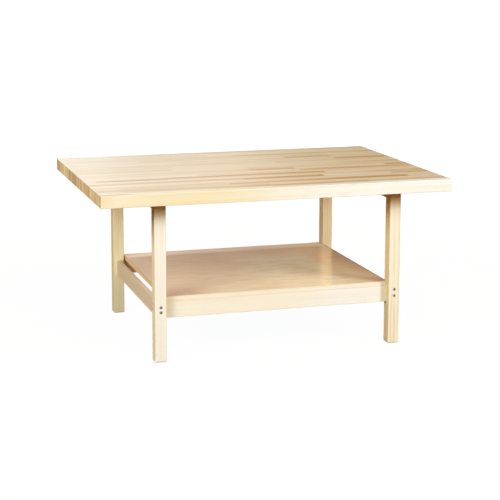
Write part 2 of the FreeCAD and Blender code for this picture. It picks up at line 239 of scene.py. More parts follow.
LEG_PALE_WITH_PAINTED_LIGHT = {
    "leg_front_left": (0.79, 0.80, 0.735),
    "leg_front_right": (0.775, 0.755, 0.63),
    "leg_back_left": (1.0, 0.97, 0.67),
    "leg_back_right": (0.94, 0.84, 0.56),
}
LEG_SIDE_LIGHT_TINT = {            # painted light and shade on a leg's sides against its front
    "leg_front_left": (0.92, 0.82, 0.60),
    "leg_front_right": (0.93, 0.82, 0.58),
    "leg_back_left": (0.67, 0.59, 0.50),
    "leg_back_right": (1.05, 1.10, 1.32),
}
# Brown streaks that run up a leg's front, as place across from its left
# edge (0 to 1), lowest and highest z, half width and strength
LEG_STREAKS = {
    "leg_front_left": (
        (0.22, 0.05, 0.70, 0.0040, 0.10),
        (0.70, 0.25, 0.70, 0.0050, 0.12),
    ),
    "leg_front_right": (
        (0.30, -0.05, 0.30, 0.0060, 0.55),
        (0.52, -0.05, 0.24, 0.0075, 0.50),
        (0.42, 0.30, 0.75, 0.0060, 0.25),
        (0.90, 0.05, 0.75, 0.0050, 0.30),
    ),
    "leg_back_left": (
        (0.62, 0.02, 0.22, 0.0035, 0.20),
        (0.30, 0.30, 0.70, 0.0030, 0.15),
    ),
    "leg_back_right": (
        (0.30, 0.00, 0.70, 0.0045, 0.15),
        (0.75, 0.00, 0.70, 0.0045, 0.15),
    ),
}
STREAK_GOLD = (0.68, 0.44, 0.15)
STREAK_SWAY, STREAK_WAVE = 0.022, 3.5    # how far it sways, and waves per metre
STREAK_OFFSET = 7.7          # keeps two streaks from swaying together
STREAK_FOOT, STREAK_TIP = 0.05, 0.12     # lengths over which a streak fades

# Painted shadow of the table top on the legs' tops: share and reach below the
# top, on the front and on the sides
LEG_SHADOW = (0.56, 0.32, 0.12)
LEG_SHADOW_FRONT, LEG_SHADOW_FRONT_REACH = 0.62, 0.096
LEG_SHADOW_SIDE, LEG_SHADOW_SIDE_REACH = 0.9, 0.24
# painted warm shade near the top of each leg
LEG_TOP_SHADE_TINT = (0.96, 0.86, 0.60)
LEG_TOP_SHADE_REACH = (0.12, 0.01)     # it sets in between these distances below the top
LEG_GLUE_SHARE, LEG_GLUE_FADE = 0.4, 0.0009

LONG_PALE = {
    "long_rail_front": MAPLE_PALE,
    "long_rail_back": MAPLE_PALE,
    "shelf_front_band": MAPLE_PALE,
    "shelf_back_band": (0.90, 0.85, 0.70),
}
TIP_SHADE_TINT = (1.0, 0.97, 0.85)     # painted warm shade: long timbers are yellower at their tips, where the legs shade them
TIP_REACH = (0.06, 0.01)         # setting in between these distances from a tip
RIGHT_LIGHT_TINT = {"long_rail_front": (1.0, 1.04, 1.13)}      # painted light: whiter towards the right end
RIGHT_LIGHT_TINT_RISE = (0.0, 0.35)
INNER_PAINTED_LIGHT = {"long_rail_back": (1.0, 0.78, 0.46)}      # painted light on the face under the shelf
INNER_LIGHT_SHARE = 0.9

STRETCHER_PALE = (0.70, 0.57, 0.40)
# painted shade: the upper rails sit in the top's shadow and are coloured dark brown
UPPER_RAIL_SHADED_BROWN = (0.45, 0.24, 0.11)
CROSS_PALE = {
    "end_stretcher_left": STRETCHER_PALE,
    "end_stretcher_right": STRETCHER_PALE,
    "upper_rail_left": UPPER_RAIL_SHADED_BROWN,
    "upper_rail_right": UPPER_RAIL_SHADED_BROWN,
}
CROSS_SIDE_SHADE_TINT = (0.92, 0.95, 0.96)     # painted shade on the faces to the left and right
CROSS_EDGE_HIGHLIGHT = (0.90, 0.76, 0.48)          # painted highlight along the edges

# Timbers: pale colours by node, the axis of the grain, and the first node's seed
TIMBERS = (
    (LEG_PALE_WITH_PAINTED_LIGHT, 2, 1.7),
    (LONG_PALE, 0, 7.3),
    (CROSS_PALE, 1, 11.9),
)
DOWEL_SEED = 23.0
GRAIN_ORDER = {0: (0, 1, 2), 1: (1, 0, 2), 2: (2, 0, 1)}     # axes from the grain on
TIMBER_SHIFT = (3.1, 0.11, 0.023)        # how a seed of 1 moves the grain, in metres
HALF_SHIFT = (5.3, 0.21, 0.05)           # and how a leg's right half has it moved
WARMER = (0.96, 0.87, 0.70)      # a timber's warm bands against its pale ones
TIMBER_FIGURE = 0.6              # its figure is fainter than the top's
TIMBER_END_SHARE = 0.6
AWAY_SHADE_TINT = (1.0, 0.955, 0.86)   # painted warm shade on faces to the right and back
BORE_SHADE_BROWN = (0.12, 0.08, 0.04)  # painted shade on the walls of holes and housings
BORE_SHADE_SHARE, BORE_SHADE_FADE = 0.85, (0.0006, 0.0014)
EDGE_TINT_WIDTH, EDGE_TINT_SHARE = 0.0035, 0.42    # golden along the edges, and a painted highlight along the cross pieces' edges
TIMBER_ROUGH = 0.65
TIMBER_RELIEF = 0.00012
TIMBER_SPECULAR = 0.02

# ---------------------------------------------------------------- shelf values

SHELF_LOW, SHELF_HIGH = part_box("shelf_panel")
SHELF_SHIFT = (0.4, 0.1, 0.02)
SHELF_TAN = (0.93, 0.625, 0.345)
SHELF_LIT_OLIVE = (0.82, 0.695, 0.425)       # painted light towards the front
SHELF_CLOUD, SHELF_CLOUD_CYCLES = 0.4, (2.5, 5.0, 5.0)
LIT_OLIVE_FADE = (-0.35, 0.45)
# Shade under the top at both ends and in the front left corner: shares, and
# the x or y over which each fades
SHELF_SHADE = (0.66, 0.43, 0.25)
SHADE_SHARE = 0.42
SHADE_RIGHT, SHADE_RIGHT_RISE = 2.0, (0.42, 0.54)
SHADE_LEFT_FADE = (-0.48, 0.0)
SHADE_CORNER, SHADE_CORNER_X, SHADE_CORNER_Y = 2.6, (-0.46, -0.22), (-0.42, -0.15)
# Painted light: a paler patch right of the middle, over x and towards the front
SHELF_LIT_PATCH = (0.98, 0.835, 0.55)
PALER_RISE, PALER_FADE, PALER_BACK = (-0.10, 0.15), (0.34, 0.42), (0.15, 0.35)
SHELF_BACK_LIGHT = (1.0, 0.80, 0.52)   # painted light on a strip along the back band
SHELF_BACK_LIGHT_SHARE, SHELF_BACK_LIGHT_RISE = 0.9, (0.36, 0.41)
SHELF_BROWN = (0.46, 0.26, 0.12)
SHELF_FIBRES = 0.10
# Veneer pattern from coarse to fine: place moved by, cycles per metre, detail,
# roughness, noise values between which it fades in, share
SHELF_PATTERN = (
    ((1.3, 0.6, 0.0), (7.0, 42.0, 42.0), 4.0, 0.6, (0.44, 0.66), 0.26),
    ((0.0, 0.0, 0.0), (22.0, 240.0, 240.0), 3.0, 0.6, (0.40, 0.75), 0.22),
    ((0.0, 0.0, 0.0), (110.0, 330.0, 330.0), 3.0, 0.7, (0.45, 0.75), 0.16),
)
SHELF_SIDE = (0.74, 0.54, 0.24)  # end faces
SHELF_SIDE_SHARE = 0.85
SHELF_DARK_EDGE_WIDTH, SHELF_DARK_EDGE_SHARE = 0.006, 0.5
SHELF_LINE = (0.30, 0.17, 0.08)  # along the right edge
SHELF_LINE_SHARE, SHELF_LINE_REACH = 0.75, (0.012, 0.005)
SHELF_ROUGH, SHELF_ROUGH_MOTTLE, SHELF_DULLER = 0.26, 0.08, 0.45
SHELF_RELIEF = 0.00006
SHELF_SPECULAR = 0.25
SHELF_COAT, SHELF_COAT_LESS = 0.65, 0.5      # gloss on the upper face, less on the strip
SHELF_COAT_ROUGH = 0.04

# ---------------------------------------------------------------- steel values

# Name: colour, roughness and how metallic
STEELS = {
    "black_oxide_steel": ((0.10, 0.10, 0.10), 0.40, 0.9),
    "zinc_plated_steel": ((0.62, 0.63, 0.65), 0.25, 1.0),
    "dull_steel": ((0.38, 0.34, 0.26), 0.38, 1.0),
}
STEEL_NODES = {
    "connector_bolts": "dull_steel",
    "bolt_washers": "black_oxide_steel",
    "barrel_nuts": "zinc_plated_steel",
    "top_screws": "zinc_plated_steel",
    "top_screw_washers": "zinc_plated_steel",
    "shelf_screws": "zinc_plated_steel",
}
STEEL_DARKER = 0.6           # blotches against the plain steel
BLOTCH_CYCLES, BLOTCH_FADE, BLOTCH_ROUGH = (260.0, 260.0, 260.0), (0.35, 0.7), 0.2
SCRATCH_CYCLES, SCRATCH_DEPTH = (4000.0, 4000.0, 600.0), 0.00003


# ---------------------------------------------------------------- nodes

class Paint:
    """The nodes of one material, or of the world, built by short calls."""

    def __init__(self, name, kind=bpy.data.materials):
        self.owner = kind.new(name)
        self.owner.use_nodes = True
        self.tree = self.owner.node_tree
        self.tree.nodes.clear()

    def node(self, kind, inputs=None, **settings):
        """New shader node with its settings, values and links."""
        made = self.tree.nodes.new("ShaderNode" + kind)
        for key, value in settings.items():
            setattr(made, key, value)
        for key, value in (inputs or {}).items():
            if isinstance(value, bpy.types.NodeSocket):
                self.tree.links.new(value, made.inputs[key])
            else:
                made.inputs[key].default_value = value
        return made

    def math(self, operation, first, second=0.0, clamp=False):
        """Result of one scalar operation."""
        inputs = {0: first, 1: second}
        return self.node("Math", inputs, operation=operation, use_clamp=clamp).outputs[0]

    def plus(self, first, second):
        """Sum."""
        return self.math("ADD", first, second)

    def minus(self, first, second):
        """Difference."""
        return self.math("SUBTRACT", first, second)

    def times(self, first, *others):
        """Product."""
        for other in others:
            first = self.math("MULTIPLY", first, other)
        return first

    def larger(self, first, second):
        """The larger of two values."""
        return self.math("MAXIMUM", first, second)

    def smaller(self, first, second):
        """The smaller of two values."""
        return self.math("MINIMUM", first, second)

    def rest(self, value):
        """What the value leaves of 1."""
        return self.minus(1.0, value)

    def ramp(self, value, low, high):
        """Value taken smoothly from 0 at low to 1 at high."""
        inputs = {"Value": value, "From Min": low, "From Max": high}
        return self.node("MapRange", inputs, interpolation_type="SMOOTHSTEP").outputs[0]

    def fall(self, value, low, high):
        """Value taken smoothly from 1 at low to 0 at high."""
        return self.rest(self.ramp(value, low, high))

    def blend(self, share, first, second, mode="MIX"):
        """Two colours mixed by a share."""
        made = self.node("Mix", data_type="RGBA", blend_type=mode)
        for index, value in ((0, share), (6, first), (7, second)):
            if isinstance(value, bpy.types.NodeSocket):
                self.tree.links.new(value, made.inputs[index])
            elif index == 0:
                made.inputs[index].default_value = value
            else:
                made.inputs[index].default_value = (*value, 1)
        return made.outputs[2]

    def tint(self, share, color, by):
        """Colour multiplied by a tint, by a share."""
        return self.blend(share, color, by, mode="MULTIPLY")

    def xyz(self, vector):
        """The three parts of a vector."""
        return self.node("SeparateXYZ", {0: vector}).outputs

    def vector(self, x, y, z):
        """Vector of three parts."""
        return self.node("CombineXYZ", {0: x, 1: y, 2: z}).outputs[0]

    def moved(self, vector, offset):
        """Vector plus an offset."""
        return self.node("VectorMath", {0: vector, 1: offset}, operation="ADD").outputs[0]

    def noise(self, vector, cycles, detail=2.0, rough=0.5):
        """Noise from 0 to 1 with its cycles per metre along x, y and z."""
        point = self.node("VectorMath", {0: vector, 1: cycles}, operation="MULTIPLY").outputs[0]
        inputs = {"Vector": point, "Scale": 1.0, "Detail": detail, "Roughness": rough}
        return self.node("TexNoise", inputs).outputs[0]

    def place(self):
        """Object coordinates, in metres."""
        return self.node("TexCoord").outputs["Object"]

    def facing(self, direction):
        """1 on faces that look along a direction, else 0."""
        normal = self.node("TexCoord").outputs["Normal"]
        part = self.node("VectorMath", {0: normal, 1: direction}, operation="DOT_PRODUCT")
        return self.ramp(part.outputs["Value"], *FACING)

    def square_to(self, axis):
        """1 on faces square to an axis (0, 1 or 2), else 0."""
        part = self.xyz(self.node("TexCoord").outputs["Normal"])[axis]
        return self.ramp(self.math("ABSOLUTE", part), *SQUARE)

    def seen_directly(self):
        """1 for camera, glossy and transmission rays, before any diffuse bounce."""
        path = self.node("LightPath").outputs
        either = self.larger(path["Is Camera Ray"], path["Is Glossy Ray"])
        every = self.larger(either, path["Is Transmission Ray"])
        return self.math("SUBTRACT", every, path["Diffuse Depth"], clamp=True)

    def finish(self, color, rough, height, depth, more):
        """Principled surface with a bump of a depth in metres, and more inputs by name."""
        bump = self.node("Bump", {"Height": height, "Distance": depth, "Strength": 1.0})
        inputs = {"Base Color": color, "Roughness": rough, "Normal": bump.outputs[0]}
        surface = self.node("BsdfPrincipled", {**inputs, **more})
        self.node("OutputMaterial", {"Surface": surface.outputs[0]})
        return self.owner


# ---------------------------------------------------------------- camera and light

def make_camera():
    """Camera at its place, looking along yaw, pitch and roll."""
    yaw, pitch = CAMERA_YAW, CAMERA_PITCH
    level = math.cos(pitch)
    forward = Vector((math.sin(yaw) * level, math.cos(yaw) * level, -math.sin(pitch)))
    right = Vector((math.cos(yaw), -math.sin(yaw), 0))
    up = right.cross(forward)
    rolled_right = right * math.cos(CAMERA_ROLL) + up * math.sin(CAMERA_ROLL)
    rolled_up = up * math.cos(CAMERA_ROLL) - right * math.sin(CAMERA_ROLL)
    data = bpy.data.cameras.new("camera")
    data.sensor_width = CAMERA_SENSOR
    data.lens = CAMERA_LENS
    data.shift_y = CAMERA_SHIFT_UP
    camera = bpy.data.objects.new("camera", data)
    turn = Matrix((rolled_right, rolled_up, -forward)).transposed()
    camera.matrix_world = Matrix.Translation(CAMERA_PLACE) @ turn.to_4x4()
    bpy.context.scene.collection.objects.link(camera)
    bpy.context.scene.camera = camera


def make_lamp(name, azimuth, elevation, distance, width, height, power, color, mirrored):
    """Softbox that faces the table from an azimuth, elevation and distance."""
    data = bpy.data.lights.new(name, "AREA")
    data.shape = "RECTANGLE"
    data.size = width
    data.size_y = height
    data.energy = power
    data.color = color
    turn, tilt = math.radians(azimuth), math.radians(elevation)
    level = math.cos(tilt)
    away = Vector((math.sin(turn) * level, -math.cos(turn) * level, math.sin(tilt)))
    lamp = bpy.data.objects.new(name, data)
    lamp.location = LAMP_TARGET + away * distance
    lamp.rotation_euler = (-away).to_track_quat("-Z", "Y").to_euler()
    lamp.visible_glossy = mirrored
    bpy.context.scene.collection.objects.link(lamp)


def make_world():
    """Even studio light; white where the camera or a reflection meets it."""
    paint = Paint("studio", bpy.data.worlds)
    bpy.context.scene.world = paint.owner
    fill = paint.node("Background", {"Color": FILL_COLOR, "Strength": FILL_STRENGTH})
    white = paint.node("Background", {"Color": BACKGROUND_WHITE})
    shaders = {0: paint.seen_directly(), 1: fill.outputs[0], 2: white.outputs[0]}
    mix = paint.node("MixShader", shaders)
    paint.node("OutputWorld", {"Surface": mix.outputs[0]})


def stage_plate(name, corners, paint):
    """Flat plate of four corners that belongs to the studio, not to the table."""
    mesh = bpy.data.meshes.new(name)
    mesh.from_pydata(corners, [], [(0, 1, 2, 3)])
    mesh.materials.append(paint.owner)
    plate = bpy.data.objects.new(name, mesh)
    bpy.context.scene.collection.objects.link(plate)
    return plate


def make_far_wall():
    """Dark end of the studio, behind and to the right, that only reflections show."""
    left, right, low, high = FAR_WALL_SPAN
    outline = ((left, low), (right, low), (right, high), (left, high))
    paint = Paint("studio_wall")
    plain = paint.node("BsdfDiffuse", {"Color": FAR_WALL_COLOR})
    paint.node("OutputMaterial", {"Surface": plain.outputs[0]})
    wall = stage_plate("far_wall", [(x, FAR_WALL_Y, z) for x, z in outline], paint)
    wall.visible_camera = False
    wall.visible_diffuse = False
    wall.visible_shadow = False


def make_floor():
    """Pale floor that keeps a faint shadow and meets the white background."""
    paint = Paint("pale_floor")
    plain = paint.node("BsdfDiffuse", {"Color": FLOOR_PALE})
    glow = paint.node("Emission", {"Color": FLOOR_GLOW_COLOR, "Strength": FLOOR_GLOW})
    distance = paint.node("VectorMath", {0: paint.place()}, operation="LENGTH").outputs["Value"]
    far = paint.times(paint.ramp(distance, *FLOOR_FAR), 1 - FLOOR_WHITE_NEAR)
    share = paint.times(paint.seen_directly(), paint.plus(far, FLOOR_WHITE_NEAR))
    mix = paint.node("MixShader", {0: share, 1: plain.outputs[0], 2: glow.outputs[0]})
    paint.node("OutputMaterial", {"Surface": mix.outputs[0]})
    h = FLOOR_HALF
    stage_plate("floor", [(-h, -h, 0), (h, -h, 0), (h, h, 0), (-h, h, 0)], paint)


# ---------------------------------------------------------------- wood

def wood_figure(paint, point):
    """Growth rings and the other layers of one board, each from 0 to 1.

    The point's X runs along the grain. A ring is the fractional part of the
    distance from the pith over the ring width, bent by slow noise, so long
    faces show streaks and ends show arcs: its late wood rises over most of
    the year and falls at the end. The others are noises stretched along the
    grain: bands about 35 mm wide, streaks 9 mm, lines 6 mm, fibres 1.5 mm,
    dashes 4 mm and flecks under 1 mm.
    """
    bend = paint.times(paint.minus(paint.noise(point, RING_BEND_CYCLES), 0.5), RING_BEND)
    _, y, z = paint.xyz(point)
    side = paint.minus(paint.plus(y, bend), PITH_SIDE)
    depth = paint.minus(paint.plus(z, bend), PITH_DEPTH)
    from_pith = paint.math("SQRT", paint.plus(paint.times(side, side), paint.times(depth, depth)))
    phase = paint.math("FRACT", paint.math("DIVIDE", from_pith, RING_WIDTH))
    rise = paint.ramp(phase, *LATE_WOOD)
    figure = {"late": paint.times(rise, paint.fall(phase, LATE_WOOD[1], 1.0))}
    for name, (cycles, detail, rough, fade) in FIGURE_NOISES.items():
        value = paint.noise(point, cycles, detail, rough)
        figure[name] = paint.ramp(value, *fade) if fade else value
    return figure


def wood_color(paint, figure, pale, warm, brown, tone=None, strength=1.0):
    """Wood colour: pale to warm in bands, to brown by tone, then layer by layer.

    The fibres go towards the warm colour and every other layer to the brown.
    """
    color = paint.blend(paint.times(figure["bands"], BAND_SHARE * strength), pale, warm)
    if tone is not None:
        spread = paint.plus(paint.times(figure["bands"], TONE_BY_BAND), TONE_LEAST)
        color = paint.blend(paint.math("MULTIPLY", tone, spread, clamp=True), color, brown)
    for name, share in LAYER_SHARES.items():
        other = warm if name == "fibres" else brown
        color = paint.blend(paint.times(figure[name], share * strength), color, other)
    return color


def wood_rough(paint, figure, middle):
    """Roughness about its middle, by fibre and band."""
    swing = paint.minus(paint.plus(figure["fibres"], figure["bands"]), 1.0)
    return paint.plus(paint.times(swing, ROUGH_SWING), middle)


def wood_height(paint, figure):
    """Relief of the fibres, less that of the flecks."""
    fibres = paint.times(figure["fibres"], FIBRE_RELIEF)
    return paint.minus(fibres, paint.times(figure["flecks"], FLECK_RELIEF))


def box_distances(paint, place, low, high):
    """Distances in x, y and z to the nearest planes of a timber's box."""
    near = []
    for part, a, b in zip(paint.xyz(place), low, high):
        from_middle = paint.math("ABSOLUTE", paint.minus(part, (a + b) / 2))
        near.append(paint.minus((b - a) / 2, from_middle))
    return near


def arris(paint, place, low, high, width):
    """1 along the edges of a box-shaped timber, fading out over a width.

    On a face the least distance to the box is 0, and on an edge the middle
    one is 0 too.
    """
    near_x, near_y, near_z = box_distances(paint, place, low, high)
    less, more = paint.smaller(near_x, near_y), paint.larger(near_x, near_y)
    middle = paint.larger(less, paint.smaller(more, near_z))
    return paint.fall(middle, 0.0, width)


def bored(paint, place, low, high):
    """1 on the walls of holes and housings, which lie inside the timber's box."""
    near_x, near_y, near_z = box_distances(paint, place, low, high)
    return paint.ramp(paint.smaller(paint.smaller(near_x, near_y), near_z), *BORE_SHADE_FADE)


# ---------------------------------------------------------------- top finish

def drawn(paint, seed, draw):
    """A board's random value for one use: the fractional part of seed times draw."""
    return paint.math("FRACT", paint.times(seed, draw))


def board_brownness(paint, seed, tone, row_place, point):
    """A board's tone, rising from one of its sides to the other and in clouds."""
    turned = paint.math("GREATER_THAN", drawn(paint, seed, TURN_DRAW), 0.5)
    across = paint.math("ABSOLUTE", paint.minus(paint.math("FRACT", row_place), turned))
    cloud = paint.times(paint.noise(point, BOARD_CLOUD_CYCLES, detail=1.0), BOARD_CLOUD)
    uneven = paint.plus(paint.times(across, BOARD_SLOPE), cloud)
    return paint.times(tone, paint.plus(uneven, BOARD_LEAST))


def long_face_color(paint, figure, tone, x, z):
    """Front and back faces: yellow to the left, gold at the tip and along the foot, painted warm
    shade on the back face, painted light whiter to the right.
    """
    face_tone = paint.times(tone, FACE_TONE)
    color = wood_color(paint, figure, FACE_PALE, MAPLE_WARM, MAPLE_BROWN, face_tone)
    yellow = paint.plus(paint.times(paint.ramp(x, *YELLOW_RISE), YELLOW_MORE), YELLOW_LEAST)
    yellow = paint.times(yellow, paint.fall(x, *YELLOW_FADE))
    # painted warm shade: the back face is yellower
    yellow = paint.larger(yellow, paint.times(paint.facing((0, 1, 0)), BACK_FACE_SHADE_YELLOW))
    color = paint.blend(yellow, color, FACE_YELLOW)
    tip = paint.fall(x, TOP_LOW.x, TOP_LOW.x + GOLD_TIP_REACH)
    foot = paint.fall(z, *[TOP_LOW.z + up for up in GOLD_FOOT_FADE])
    gold = paint.larger(paint.times(tip, GOLD_TIP), paint.times(foot, yellow, GOLD_FOOT))
    by_band = paint.plus(paint.times(figure["bands"], GOLD_BY_BAND), GOLD_LEAST)
    color = paint.blend(paint.times(gold, by_band), color, FACE_GOLD)
    # painted light: the faces turn whiter towards the right end
    return paint.tint(paint.ramp(x, *FACE_RIGHT_LIGHT_RISE), color, FACE_RIGHT_LIGHT_TINT)


def end_grain_color(paint, figure, end_tone, place):
    """End grain of a board's block: by its own tone, patches and late wood."""
    patches = paint.ramp(paint.noise(place, PATCH_CYCLES, detail=1.0), *PATCH_FADE)
    mixed = paint.plus(paint.times(patches, BLOCK_PATCHES), paint.times(figure["late"], BLOCK_LATE))
    block = paint.ramp(paint.plus(paint.times(end_tone, BLOCK_TONE), mixed), *BLOCK_RANGE)
    return paint.blend(block, END_PALE, END_BROWN)


def glue_lines(paint, seed, x, start, end, row_place, sides, ends):
    """1 on glue lines between rows, which some boards hardly show, and at joints."""
    from_row = paint.times(paint.math("PINGPONG", row_place, 0.5), ROW_WIDTH)
    row_line = paint.times(paint.fall(from_row, HALF_LINE, GLUE_FADE), paint.rest(sides))
    plainness = drawn(paint, seed, LINE_DRAW)
    showing = paint.plus(paint.times(plainness, plainness), ROW_LINE_LEAST)
    from_joint = paint.smaller(paint.minus(x, start), paint.minus(end, x))
    joint_line = paint.times(paint.fall(from_joint, HALF_LINE, GLUE_FADE), paint.rest(ends))
    return paint.larger(paint.times(row_line, showing), paint.times(joint_line, JOINT_SHARE))


def heart_line(paint, x, y):
    """1 on the dark line behind the front edge, near the left end."""
    from_front = paint.minus(y, TOP_LOW.y)
    strip = paint.times(paint.ramp(from_front, *HEART_NEAR), paint.fall(from_front, *HEART_FAR))
    return paint.times(strip, paint.fall(x, *[TOP_LOW.x + reach for reach in HEART_FADE]))


def top_material():
    """Laminated top: every board has its own tone, grain and joints.

    The colours are laid on in this order: boards with a painted sheen at the left end, long faces,
    end grain, glue lines, heart line, and a pale outline that is wear and painted highlight.
    """
    paint = Paint("maple_butcher_block")
    seed, tone, start, end, end_tone = (
        paint.node("Attribute", attribute_name="board_" + name).outputs["Fac"]
        for name in ("seed", "tone", "start", "end", "end_tone"))
    place = paint.place()
    x, y, z = paint.xyz(place)
    point = paint.moved(place, paint.vector(*[paint.times(seed, step) for step in BOARD_SHIFT]))
    figure = wood_figure(paint, point)
    row_place = paint.math("DIVIDE", paint.plus(y, TOP_DEPTH / 2), ROW_WIDTH)
    tone = board_brownness(paint, seed, tone, row_place, point)
    sides, ends = paint.square_to(1), paint.square_to(0)

    color = wood_color(paint, figure, TOP_PALE, TOP_WARM, TOP_BROWN, tone)
    hue = paint.blend(drawn(paint, seed, HUE_DRAW), BOARD_YELLOWER, BOARD_PINKER)
    color = paint.tint(1.0, color, hue)
    # painted sheen: the boards turn bluer and greyer towards the left end
    color = paint.tint(paint.fall(x, *LEFT_SHEEN_TINT_FADE), color, LEFT_SHEEN_TINT)
    front_row = paint.math("LESS_THAN", y, TOP_LOW.y + ROW_WIDTH)
    front_row = paint.times(front_row, FRONT_STRIP, paint.ramp(x, *FRONT_STRIP_RISE))
    face = long_face_color(paint, figure, tone, x, z)
    color = paint.blend(paint.larger(sides, front_row), color, face)
    block = end_grain_color(paint, figure, end_tone, place)
    color = paint.blend(paint.times(ends, BLOCK_SHARE), color, block)
    line = glue_lines(paint, seed, x, start, end, row_place, sides, ends)
    color = paint.blend(paint.times(line, GLUE_SHARE), color, GLUE_LINE)
    color = paint.blend(paint.times(heart_line(paint, x, y), HEART_SHARE), color, HEART_LINE)
    # pale outline along the edges: wear, and a painted highlight on the eased edges
    along_edges = arris(paint, place, TOP_LOW, TOP_HIGH, PALE_OUTLINE_WIDTH)
    color = paint.blend(paint.times(along_edges, PALE_OUTLINE_SHARE), color, MAPLE_PALE)

    height = paint.minus(wood_height(paint, figure), paint.times(line, GLUE_DEPTH))
    dull = paint.times(paint.larger(ends, paint.facing((0, 0, -1))), TOP_DULLER)
    rough = paint.plus(wood_rough(paint, figure, TOP_ROUGH), dull)
    return paint.finish(color, rough, height, TOP_RELIEF, {"Specular IOR Level": TOP_SPECULAR})


# ---------------------------------------------------------------- frame finish

def streak_share(paint, place, low, high, across, z_low, z_high, half_width, strength):
    """Share of one brown streak: a swaying line up a leg that fades at its ends."""
    x, _, z = paint.xyz(place)
    moved = paint.moved(place, (0.0, 0.0, STREAK_OFFSET * across))
    wave = paint.noise(moved, (0.0, 0.0, STREAK_WAVE))
    sway = paint.times(paint.minus(wave, 0.5), STREAK_SWAY)
    middle = low.x + across * (high.x - low.x)
    off = paint.math("ABSOLUTE", paint.minus(paint.plus(x, sway), middle))
    length = paint.times(paint.ramp(z, z_low, z_low + STREAK_FOOT),
                         paint.fall(z, z_high - STREAK_TIP, z_high))
    return paint.times(paint.fall(off, 0.0, half_width), length, strength)


def leg_painted_shade(paint, color, node, z, top, from_glue):
    """Painted light and shade on a leg's sides, a painted shadow and warm shade at its top, and the
    glue line between its halves.
    """
    beside = paint.square_to(0)
    # painted light and shade on the sides
    color = paint.tint(beside, color, LEG_SIDE_LIGHT_TINT[node])
    # painted shadow of the table top: down the front, and further down the sides
    on_front = paint.times(paint.ramp(z, top - LEG_SHADOW_FRONT_REACH, top), LEG_SHADOW_FRONT)
    on_side = paint.times(paint.ramp(z, top - LEG_SHADOW_SIDE_REACH, top), LEG_SHADOW_SIDE)
    color = paint.blend(paint.larger(on_front, paint.times(on_side, beside)), color, LEG_SHADOW)
    # painted warm shade near the top
    near_top = paint.ramp(z, *[top - reach for reach in LEG_TOP_SHADE_REACH])
    color = paint.tint(near_top, color, LEG_TOP_SHADE_TINT)
    line = paint.fall(paint.math("ABSOLUTE", from_glue), HALF_LINE, LEG_GLUE_FADE)
    return paint.blend(paint.times(line, LEG_GLUE_SHARE), color, MAPLE_BROWN)


def timber_material(name, node, axis, seed, pale):
    """Solid maple with its grain along an axis: 0 in rails, 1 across, 2 in legs.

    The grain is the shared figure, moved by the seed. A leg is glued from a
    left and a right half, and the right one has it moved once more.
    """
    paint = Paint(name)
    low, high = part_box(node)
    place = paint.place()
    parts = paint.xyz(place)
    along = paint.vector(*[parts[part] for part in GRAIN_ORDER[axis]])
    point = paint.moved(along, tuple(seed * step for step in TIMBER_SHIFT))
    from_middle = paint.minus(parts[0], (low.x + high.x) / 2)
    if axis == 2:
        right_half = paint.math("GREATER_THAN", from_middle, 0.0)
        jump = paint.vector(*[paint.times(right_half, step) for step in HALF_SHIFT])
        point = paint.moved(point, jump)
    figure = wood_figure(paint, point)
    warm = tuple(part * share for part, share in zip(pale, WARMER))
    color = wood_color(paint, figure, pale, warm, MAPLE_BROWN, strength=TIMBER_FIGURE)
    for streak in LEG_STREAKS.get(node, ()):
        color = paint.blend(streak_share(paint, place, low, high, *streak), color, STREAK_GOLD)
    color = paint.blend(paint.times(paint.square_to(axis), TIMBER_END_SHARE), color, END_PALE)
    # painted warm shade at the tips of long timbers, where the legs shade them
    if axis == 0:
        from_tips = [(high.x - low.x) / 2 - reach for reach in TIP_REACH]
        tip = paint.ramp(paint.math("ABSOLUTE", from_middle), *from_tips)
        color = paint.tint(tip, color, TIP_SHADE_TINT)
    if axis == 1:
        # painted shade on the cross pieces' sides
        color = paint.tint(paint.square_to(0), color, CROSS_SIDE_SHADE_TINT)
    # painted warm shade on faces to the right and back
    color = paint.tint(paint.facing((1, 1, 0)), color, AWAY_SHADE_TINT)
    # painted light: the front rail turns whiter towards its right end
    if node in RIGHT_LIGHT_TINT:
        color = paint.tint(paint.ramp(parts[0], *RIGHT_LIGHT_TINT_RISE), color, RIGHT_LIGHT_TINT[node])
    # painted light on the back rail's face under the shelf
    if node in INNER_PAINTED_LIGHT:
        inner = paint.times(paint.facing((0, -1, 0)), INNER_LIGHT_SHARE)
        color = paint.blend(inner, color, INNER_PAINTED_LIGHT[node])
    if axis == 2:
        color = leg_painted_shade(paint, color, node, parts[2], high.z, from_middle)
    # painted shade on the walls of holes and housings
    color = paint.blend(paint.times(bored(paint, place, low, high), BORE_SHADE_SHARE), color, BORE_SHADE_BROWN)
    # golden along the edges; on the cross pieces a pale painted highlight
    along_edges = paint.times(arris(paint, place, low, high, EDGE_TINT_WIDTH), EDGE_TINT_SHARE)
    color = paint.blend(along_edges, color, CROSS_EDGE_HIGHLIGHT if axis == 1 else STREAK_GOLD)
    rough = wood_rough(paint, figure, TIMBER_ROUGH)
    return paint.finish(color, rough, wood_height(paint, figure), TIMBER_RELIEF,
                        {"Specular IOR Level": TIMBER_SPECULAR})


# ---------------------------------------------------------------- shelf finish

